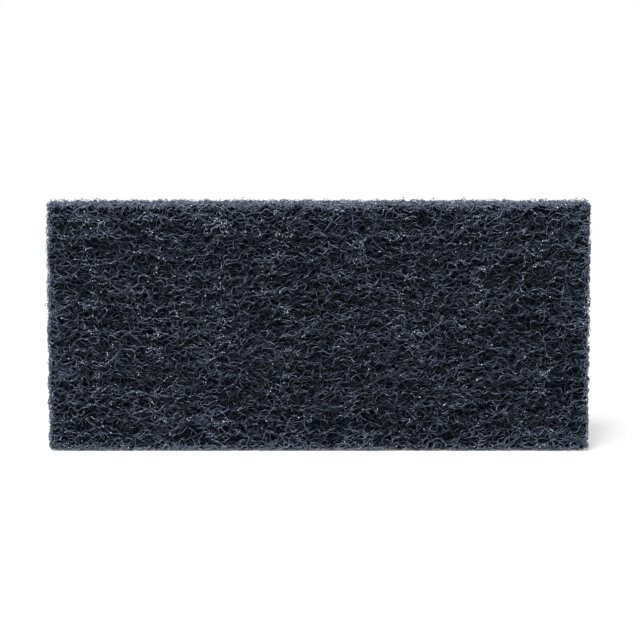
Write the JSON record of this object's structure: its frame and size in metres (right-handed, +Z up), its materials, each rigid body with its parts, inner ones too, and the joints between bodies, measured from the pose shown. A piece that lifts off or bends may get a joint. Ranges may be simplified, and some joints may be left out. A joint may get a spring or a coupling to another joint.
{
  "type": "scouring pad",
  "caption": "Thick rectangular hand pad cut from a lofty, open web of dark crimped nylon fibres bonded by resin, for scouring floors, worktops and pans.",
  "frame": {"origin": "middle of the underside, the long cut edge that the pad stands on", "axes": "+X along the pad's length, +Y through its thickness towards the back face, +Z up across its width"},
  "size_m": [0.254, 0.025, 0.117],
  "materials": {
    "nylon_web": "matted dark blue-grey nylon fibre with a dull resin gloss"
  },
  "bodies": {
    "root": {"scouring_pad": "nylon_web"}
  },
  "joints": []
}
